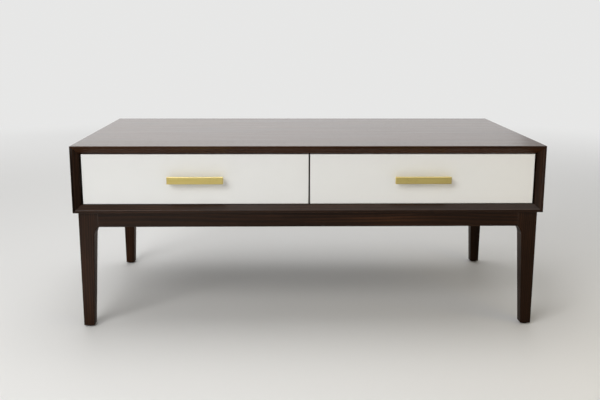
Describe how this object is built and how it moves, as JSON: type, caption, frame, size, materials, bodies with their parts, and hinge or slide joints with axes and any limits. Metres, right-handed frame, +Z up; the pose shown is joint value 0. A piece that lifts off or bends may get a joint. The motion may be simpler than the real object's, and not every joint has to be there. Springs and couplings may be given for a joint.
{
  "type": "coffee table",
  "caption": "Low rectangular coffee table: a dark wooden case with white drawers on hidden slides, brass bar pulls, on a base of tapered legs and an apron.",
  "frame": {"origin": "on the floor, in the middle of the rectangle that the case and its pulls cover", "axes": "+X along the table's width to the right of someone facing the drawers, +Y from the drawers to the back, +Z up; the drawers open along -Y"},
  "size_m": [1.2, 0.61, 0.48],
  "materials": {
    "stained_wood": "dark stain under a satin clear coat",
    "white_lacquer": "white satin lacquer",
    "brushed_brass": "brushed, lightly lacquered",
    "box_wood": "pale wood, clear oiled",
    "bare_hardwood": "sawn and unfinished",
    "zinc_steel": "bright zinc plate",
    "glide_nylon": "moulded matte"
  },
  "bodies": {
    "table": {"top_panel": "stained_wood", "bottom_panel": "stained_wood", "left_side_panel": "stained_wood", "right_side_panel": "stained_wood", "mitre_splines": "bare_hardwood", "back_panel": "stained_wood", "back_panel_screws": "zinc_steel", "centre_divider": "stained_wood", "front_apron": "stained_wood", "rear_apron": "stained_wood", "left_apron": "stained_wood", "right_apron": "stained_wood", "front_left_leg": "stained_wood", "front_right_leg": "stained_wood", "rear_left_leg": "stained_wood", "rear_right_leg": "stained_wood", "centre_stretcher": "stained_wood", "corner_blocks": "bare_hardwood", "base_screws": "zinc_steel", "leg_glides": "glide_nylon", "dowels": "bare_hardwood", "case_rail_screws": "zinc_steel", "left_end_case_rail": "zinc_steel", "left_centre_case_rail": "zinc_steel", "right_end_case_rail": "zinc_steel", "right_centre_case_rail": "zinc_steel"},
    "left_drawer": {"left_drawer_front": "white_lacquer", "left_drawer_box_front": "box_wood", "left_drawer_end_side": "box_wood", "left_drawer_centre_side": "box_wood", "left_drawer_back": "box_wood", "left_drawer_bottom": "box_wood", "left_drawer_front_screws": "zinc_steel", "left_drawer_rail_screws": "zinc_steel", "left_pull_bar": "brushed_brass", "left_pull_posts": "brushed_brass", "left_pull_screws": "zinc_steel", "left_end_drawer_rail": "zinc_steel", "left_centre_drawer_rail": "zinc_steel"},
    "left_middle_rails": {"left_end_middle_rail": "zinc_steel", "left_centre_middle_rail": "zinc_steel"},
    "left_outer_cages": {"left_outer_ball_cages": "zinc_steel"},
    "left_inner_cages": {"left_inner_ball_cages": "zinc_steel"},
    "right_drawer": {"right_drawer_front": "white_lacquer", "right_drawer_box_front": "box_wood", "right_drawer_end_side": "box_wood", "right_drawer_centre_side": "box_wood", "right_drawer_back": "box_wood", "right_drawer_bottom": "box_wood", "right_drawer_front_screws": "zinc_steel", "right_drawer_rail_screws": "zinc_steel", "right_pull_bar": "brushed_brass", "right_pull_posts": "brushed_brass", "right_pull_screws": "zinc_steel", "right_end_drawer_rail": "zinc_steel", "right_centre_drawer_rail": "zinc_steel"},
    "right_middle_rails": {"right_end_middle_rail": "zinc_steel", "right_centre_middle_rail": "zinc_steel"},
    "right_outer_cages": {"right_outer_ball_cages": "zinc_steel"},
    "right_inner_cages": {"right_inner_ball_cages": "zinc_steel"}
  },
  "joints": [
    {"name": "left_drawer_slide", "type": "slide", "parent": "table", "child": "left_drawer", "axis": [0, -1, 0], "range_m": [0, 0.5]},
    {"name": "left_middle_rail_slide", "type": "slide", "parent": "table", "child": "left_middle_rails", "axis": [0, -1, 0], "range_m": [0, 0.25]},
    {"name": "left_outer_cage_slide", "type": "slide", "parent": "table", "child": "left_outer_cages", "axis": [0, -1, 0], "range_m": [0, 0.125]},
    {"name": "left_inner_cage_slide", "type": "slide", "parent": "table", "child": "left_inner_cages", "axis": [0, -1, 0], "range_m": [0, 0.375]},
    {"name": "right_drawer_slide", "type": "slide", "parent": "table", "child": "right_drawer", "axis": [0, -1, 0], "range_m": [0, 0.5]},
    {"name": "right_middle_rail_slide", "type": "slide", "parent": "table", "child": "right_middle_rails", "axis": [0, -1, 0], "range_m": [0, 0.25]},
    {"name": "right_outer_cage_slide", "type": "slide", "parent": "table", "child": "right_outer_cages", "axis": [0, -1, 0], "range_m": [0, 0.125]},
    {"name": "right_inner_cage_slide", "type": "slide", "parent": "table", "child": "right_inner_cages", "axis": [0, -1, 0], "range_m": [0, 0.375]}
  ],
  "couplings": [
    {"joint": "left_middle_rail_slide", "follows": "left_drawer_slide", "ratio": 0.5},
    {"joint": "left_outer_cage_slide", "follows": "left_drawer_slide", "ratio": 0.25},
    {"joint": "left_inner_cage_slide", "follows": "left_drawer_slide", "ratio": 0.75},
    {"joint": "right_middle_rail_slide", "follows": "right_drawer_slide", "ratio": 0.5},
    {"joint": "right_outer_cage_slide", "follows": "right_drawer_slide", "ratio": 0.25},
    {"joint": "right_inner_cage_slide", "follows": "right_drawer_slide", "ratio": 0.75}
  ]
}
